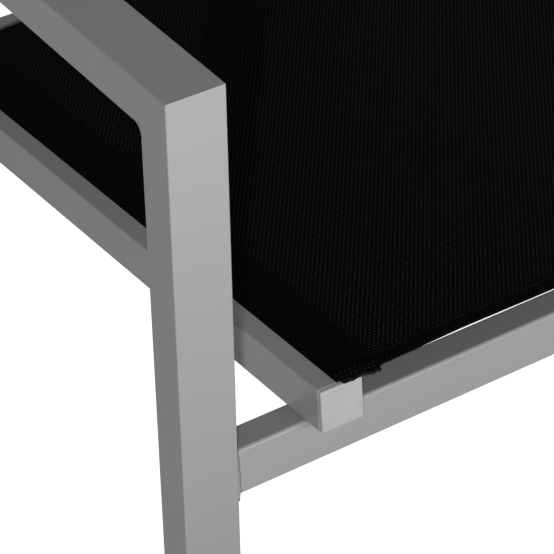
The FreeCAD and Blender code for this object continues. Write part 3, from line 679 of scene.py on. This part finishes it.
def sling_columns(span):
    """The cloth's columns: each one's (x, height), from one side's hem to the other's."""
    side = [(-span.slot + d, w) for d, w in side_path(span.rod_drop, span.rod_radius)]
    upper = side[-1][1]
    seam = [-span.slot + d for d in by_seam(SIDE_HEM - SEAM)]
    half = side + [(x, upper) for x in seam + runs(seam[-1], 0, 40)[:-1]]
    return half + [(0, upper)] + [(-x, w) for x, w in reversed(half)]


def sling_cloth(name, span, body, materials):
    """One cloth, its sides folded round the rods and its ends hemmed."""
    across, along = sling_columns(span), sling_rows(span)
    slot, rail_inner = span.slot, span.rail_inner
    settle = 6 * MM  # inside the rail, from where the ends rise onto it
    points, weaves, hems = [], [], []
    for (u, fold_w), walked_u in zip(along, walked(along)):
        from_end = min(u - span.start, span.end - u)
        near_end = max(0.0, 1 - max(0.0, from_end) / HEM_SETTLE)
        end_seam = pulled_in(from_end - END_HEM + SEAM)
        for (x, w), walked_x in zip(across, walked(across)):
            depth, bow = span.give(x, u)
            uneven = ripple(x, u) * max(0.0, 1 - (x / rail_inner) ** 2)
            side_seam = pulled_in(abs(x) - slot + SIDE_HEM - SEAM)
            dimple = DIMPLE * max(side_seam, end_seam * (abs(x) < slot))
            on_rail = eased((abs(x) - rail_inner + settle) / settle)
            lift = 2 * END_FOLD * on_rail * near_end if w > 0 else 0
            height = span.top + w + fold_w + lift - depth - dimple + uneven
            points.append(span.plane.at(x, u - bow, height))
            weaves.append((walked_x, walked_u, 0.0))
            hems.append(1.0 if abs(x) > slot - SIDE_HEM or from_end < END_HEM else 0.0)
    cloth = new_mesh(name, points, grid_faces(len(along), len(across)), materials["sling_fabric"])
    add_vectors(cloth, "weave", weaves)
    add_floats(cloth, "hem", hems)
    thicken(cloth, CLOTH)
    belongs(cloth, body)
    return cloth


def sling(name, span, node, body, materials):
    """A sling made as it is sewn: the cloth, its stitches and the ends of its side pockets."""
    cloth = sling_cloth(name, span, body, materials)
    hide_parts(node)
    seams = sling_seams(name, span, body, materials)
    tabs = [
        corner_tab(f"{name}_{side}_{place}_tab", span, sign, edge, away, body, materials)
        for side, sign in SIDES.items()
        for place, edge, away in (("front", span.start, -1), ("rear", span.end, 1))
    ]


def stitch_line(places, points, faces, up):
    """Adds a row of stitches: short threads that arch over the cloth and dive into it."""
    bends, sides = 5, 5
    gap = 0.06  # share of a stitch's length, at each end
    for here, there in zip(places, places[1:]):
        step = there - here
        rings = []
        for k in range(bends):
            share = gap + (1 - 2 * gap) * k / (bends - 1)
            rise = THREAD * (1.5 * math.sin(math.pi * share) - 0.75)
            rings.append(ring(here + step * share + up * rise, step, THREAD, sides))
        tube(rings, points, faces)


def sling_seams(name, span, body, materials):
    """Lock stitching along the side pockets and the end hems."""

    def surface(x, u):
        """The upper side of the cloth there."""
        depth, bow = span.give(x, u)
        return span.plane.at(x, u - bow, span.top + ON_FACE + LAYER + CLOTH / 2 - depth)

    inner = span.slot - SIDE_HEM + SEAM
    lines = {}
    for side, sign in SIDES.items():
        count = round((span.length - 2 * MM) / STITCH)
        steps = runs(span.start + MM, span.end - MM, count)
        lines[side] = [surface(sign * inner, u) for u in steps]
    for place, u in (("front", span.start + END_HEM - SEAM), ("rear", span.end - END_HEM + SEAM)):
        lines[place] = [surface(x, u) for x in runs(-inner, inner, round(2 * inner / STITCH))]
    made = []
    for line, places in lines.items():
        points, faces = [], []
        stitch_line(places, points, faces, span.plane.at(0, 0, 1))
        seam = new_mesh(f"{name}_{line}_stitches", points, faces, materials["sewing_thread"])
        belongs(seam, body)
        made.append(seam)
    return made


def corner_tab(name, span, side, edge, away, body, materials):
    """The side pocket's end past the hem: a doubled, ruffled scrap with a frayed cut edge."""
    plane = span.plane
    wide, reach = 31 * MM, 7.2 * MM  # reach is past the hem
    tucked = 4 * MM  # how far it starts back from the hem's end
    lying, limp = 1.9 * MM, 0.7 * MM  # its height at the hem, and how far its cut edge droops
    ruffle, frill = 0.65 * MM, 0.5 * MM  # how far it waves, up and down and in and out
    chance = random.Random(name)
    phase = chance.uniform(0, 6)
    columns, rows = 64, 14

    def spot(across, out, layer):
        """A place on the tab: across 0 at the slot to 1, out 0 at the hem to 1 at the cut edge."""
        x = side * (span.slot - across * wide)
        narrow = 1 - 0.15 * across ** 3
        wave = math.sin(across * 16 + phase) + 0.5 * math.sin(across * 37 + 2 * phase)
        past = -tucked + out * (reach * narrow + tucked) + out * frill * wave
        droop = out ** 2 * limp + span.give(x, edge)[0] * 0.8
        w = lying + out * ruffle * wave - droop + layer
        return plane.at(x, edge + away * past, span.top + w)

    points, weaves = [], []
    for r in range(rows):
        for c in range(columns):
            points.append(spot(c / (columns - 1), r / (rows - 1), 0))
            weaves.append((c / (columns - 1) * wide, r / (rows - 1) * reach, 0.0))
    tab = new_mesh(name, points, grid_faces(rows, columns), materials["sling_fabric"])
    add_vectors(tab, "weave", weaves)
    add_floats(tab, "hem", [0.3] * len(points))
    thicken(tab, 2 * CLOTH)
    belongs(tab, body)
    fray = frayed_edge(name + "_fray", plane, spot, away, chance, materials)
    fray.parent = tab
    return tab


def frayed_edge(name, plane, spot, away, chance, materials):
    """Short loose yarn ends along a tab's cut edge, and three yarns twisted along it."""
    points, faces = [], []
    ends = 26
    thick, taper = 0.26, 0.05  # a yarn's radius in mm, and how much it loses at each stop
    for k in range(ends):
        across = (k + chance.uniform(0.2, 0.8)) / ends
        foot = spot(across, 0.96, chance.uniform(-0.4, 0.4) * MM)
        out = plane.at(chance.uniform(-0.9, 0.9), away, chance.uniform(-0.9, 0.7)).normalized()
        tip = foot + out * chance.uniform(0.8, 2.2) * MM
        bend = foot.lerp(tip, 0.5) + plane.at(0, 0, 1) * chance.uniform(-0.3, 0.3) * MM
        stops = (foot, bend, tip)
        rings = [ring(p, tip - foot, (thick - taper * n) * MM, 5) for n, p in enumerate(stops)]
        tube(rings, points, faces)
    strands, knots = 3, 70
    strand_radius, swing_radius = 0.5 * MM, 0.6 * MM
    twist = 42  # radians over the tab's width
    for strand in range(strands):
        stops = []
        for k in range(knots):
            across = 0.01 + 0.98 * k / (knots - 1)
            angle = across * twist + 2 * math.pi * strand / strands
            swing = plane.at(0, math.cos(angle), math.sin(angle)) * swing_radius
            stops.append(spot(across, 0.98, 0.1 * MM) + swing)
        rings = [
            ring(here, after - before, strand_radius, 6)
            for before, here, after in zip(stops, stops[1:], stops[2:])
        ]
        tube(rings, points, faces)
    return new_mesh(name, points, faces, materials["sewing_thread"])


# ---------------------------------------------------------------------------------------------
# Welds
# ---------------------------------------------------------------------------------------------
def edge_setback(offset, half):
    """How far a tube's rounded long edge lies behind its flat face, at an offset from its middle."""
    past = abs(offset) - (half - EDGE_ROUND)
    if past <= 0:
        return 0.0
    return EDGE_ROUND - math.sqrt(max(0.0, EDGE_ROUND ** 2 - past ** 2))


def corner_weld(name, corner, x_low, x_high, first, second, materials):
    """A dressed fillet in the inner corner between two tubes' faces, rounded like their edges.

    It runs from x_low to x_high, and first and second are the ways that the faces lead away.
    """
    buried = 0.4 * MM  # its root, past the corner
    bisector = (first + second).normalized()
    half_angle = first.angle(second) / 2
    centre = corner + bisector * (CORNER_WELD / math.sin(half_angle))
    reach = CORNER_WELD / math.tan(half_angle)
    spans = [corner + face * reach - centre for face in (first, second)]
    sweep = spans[0].angle(spans[1])
    half, steps, slices = (x_high - x_low) / 2, 14, 25
    points = []
    for k in range(slices):
        offset = half * math.sin(math.pi * (k / (slices - 1) - 0.5))
        inner = []
        for step in range(steps):
            share = step / (steps - 1)
            ray = spans[0] * math.sin((1 - share) * sweep) + spans[1] * math.sin(share * sweep)
            inner.append(centre + ray.normalized() * (CORNER_WELD + edge_setback(offset, half)))
        for p in inner + [corner - bisector * buried]:
            points.append(Vector(((x_low + x_high) / 2 + offset, p.y, p.z)))
    size = steps + 1
    last = (slices - 1) * size
    faces = grid_faces(slices, size, closed=True)
    faces.append(tuple(range(size - 1, -1, -1)))
    faces.append(tuple(range(last, last + size)))
    weld = new_mesh(name, points, faces, materials["frame_paint"])
    for end_face in weld.data.polygons[-2:]:
        end_face.use_smooth = False
    belongs(weld, "frame")


def rounded_outline(u_low, u_high, w_low, w_high, radius, straight, corner):
    """Points round a rectangle with rounded corners, and each point's outward direction.

    straight is the number of steps along each side, and corner that of points round a corner.
    """
    middle_u, middle_w = (u_low + u_high) / 2, (w_low + w_high) / 2
    arcs = []
    corners = ((u_high, w_high), (u_low, w_high), (u_low, w_low), (u_high, w_low))
    for turn, (u, w) in zip((0, 90, 180, 270), corners):
        centre_u = u - math.copysign(radius, u - middle_u)
        centre_w = w - math.copysign(radius, w - middle_w)
        points = []
        for k in range(corner):
            angle = math.radians(turn + 90 * k / (corner - 1))
            out = (math.cos(angle), math.sin(angle))
            points.append((centre_u + radius * out[0], centre_w + radius * out[1], out))
        arcs.append(points)
    spots = []
    for k, points in enumerate(arcs):
        spots += points
        here, there = points[-1], arcs[(k + 1) % len(arcs)][0]
        for step in range(1, straight):
            share = step / straight
            u = here[0] + (there[0] - here[0]) * share
            w = here[1] + (there[1] - here[1]) * share
            spots.append((u, w, here[2]))
    return spots


def bead(name, plane, bar, x_face, inward, body, size, under, materials):
    """A weld bead round a bar where it meets a flat face, deeper where it runs under the bar."""
    low, high = plane.extent(bar)
    chance = random.Random(name)
    phase = chance.uniform(0, 6)
    spots = rounded_outline(low.y, high.y, low.z, high.z, CROSS_ROUND, straight=26, corner=5)
    points = []
    profile, hollow = 6, 0.9  # points across the bead, and the power that hollows it
    in_bar, in_face = 0.5 * MM, 0.3 * MM  # how deep the bead's root lies in each
    for k, (u, w, out) in enumerate(spots):
        below = max(0.0, -out[1])
        ripple = 1 + 0.10 * math.sin(k * 1.9 + phase) + 0.06 * chance.uniform(-1, 1)
        leg = (size + (under - size) * below) * ripple
        loop = []
        for p in range(profile):
            angle = math.radians(90 * p / (profile - 1))
            away = leg * (1 - math.sin(angle)) ** hollow
            along = size * ripple * (1 - math.cos(angle)) ** hollow
            loop.append((u + out[0] * away, w + out[1] * away, along))
        loop.append((u - out[0] * in_bar, w - out[1] * in_bar, -in_face))
        points += [plane.at(x_face + inward * along, uu, ww) for uu, ww, along in loop]
    faces = grid_faces(len(spots), profile + 1, closed=True, looped=True)
    weld = new_mesh(name, points, faces, materials["frame_paint"])
    belongs(weld, body)


def make_welds(materials):
    """The side frames' four inner corners, and both ends of every crossbar and spreader."""
    slant = LEG_DEPTH / math.cos(RAKE) - LEG_DEPTH * math.tan(RAKE)
    down_rear_leg = Vector((0, math.sin(RAKE), -math.cos(RAKE)))
    for side, sign in SIDES.items():
        leg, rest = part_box(f"{side}_front_leg"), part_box(f"{side}_armrest")
        front = Vector((0, leg[0].y + LEG_DEPTH, rest[0].z))
        rear = Vector((0, rest[1].y - slant, rest[0].z))
        forward, back, down = Vector((0, -1, 0)), Vector((0, 1, 0)), Vector((0, 0, -1))
        for place, corner, first, second in (
            ("front", front, back, down),
            ("rear", rear, forward, down_rear_leg),
        ):
            name = f"{side}_{place}_corner_weld"
            corner_weld(name, corner, rest[0].x, rest[1].x, first, second, materials)
        rail = SEAT.extent(f"{side}_seat_rail")
        leg_face = leg[1].x if sign < 0 else leg[0].x
        rail_face = rail[1].x if sign < 0 else rail[0].x
        for plane, bar, face, body, size, under in (
            (SEAT, "front_crossbar", leg_face, "frame", BAR_WELD, BAR_WELD_UNDER),
            (SEAT, "rear_crossbar", leg_face, "frame", BAR_WELD, BAR_WELD_UNDER),
            (SEAT, "seat_rear_spreader", rail_face, "frame", SPREADER_WELD, SPREADER_WELD),
            (BACK, "back_lower_spreader", rail_face, "backrest", SPREADER_WELD, SPREADER_WELD),
            (BACK, "back_upper_spreader", rail_face, "backrest", SPREADER_WELD, SPREADER_WELD),
        ):
            name = f"{side}_{bar}_weld"
            bead(name, plane, bar, face, -sign, body, size, under, materials)


# ---------------------------------------------------------------------------------------------
# Floor and backdrop
# ---------------------------------------------------------------------------------------------
def disc(name, height, paint):
    """A level round floor that gives the lounger no light, except where it is mirrored."""
    bpy.ops.mesh.primitive_circle_add(
        vertices=96, radius=STAGE_RADIUS, fill_type="NGON", location=(0, 0, height)
    )
    made = bpy.context.object
    made.name = name
    made.data.materials.append(paint)
    made.visible_diffuse = False
    return made


def make_floor():
    """A white floor and backdrop, and a darker copy of the floor that only shows in the paint."""
    floor = disc("floor", 0, glowing("floor_paint", FLOOR_GLOW, 0.8))
    floor.visible_glossy = False
    mirrored = disc("floor_mirrored", -1 * MM, glowing("mirrored_paint", FLOOR_MIRRORED, 0))
    mirrored.visible_camera = False
    mirrored.visible_shadow = False
    bpy.ops.mesh.primitive_uv_sphere_add(segments=48, ring_count=24, radius=BACKDROP_RADIUS)
    backdrop = bpy.context.object
    backdrop.name = "backdrop"
    backdrop.data.materials.append(backdrop_paint())
    backdrop.visible_diffuse = False
    backdrop.visible_glossy = False
    backdrop.visible_shadow = False


# ---------------------------------------------------------------------------------------------
# The whole scene
# ---------------------------------------------------------------------------------------------
def paint_nodes(materials):
    """Gives every CAD node its slot's finished material."""
    for node, piece in nodes.items():
        for holder in piece.material_slots:
            holder.material = materials[slot_of[node]]


def make_slings(materials):
    """The seat's sling and the back's, each between its own two rails."""
    for name, plane, node, part, sag, body in (
        ("seat_cloth", SEAT, "seat_sling", "seat_rail", SEAT_SAG, "frame"),
        ("back_cloth", BACK, "back_sling", "back_rail", BACK_SAG, "backrest"),
    ):
        rails = [f"{side}_{part}" for side in SIDES]
        sling(name, Span(plane, node, rails, sag), node, body, materials)


make_camera()
make_world()
make_lights()
make_floor()
materials = make_materials()
paint_nodes(materials)
make_slings(materials)
make_welds(materials)
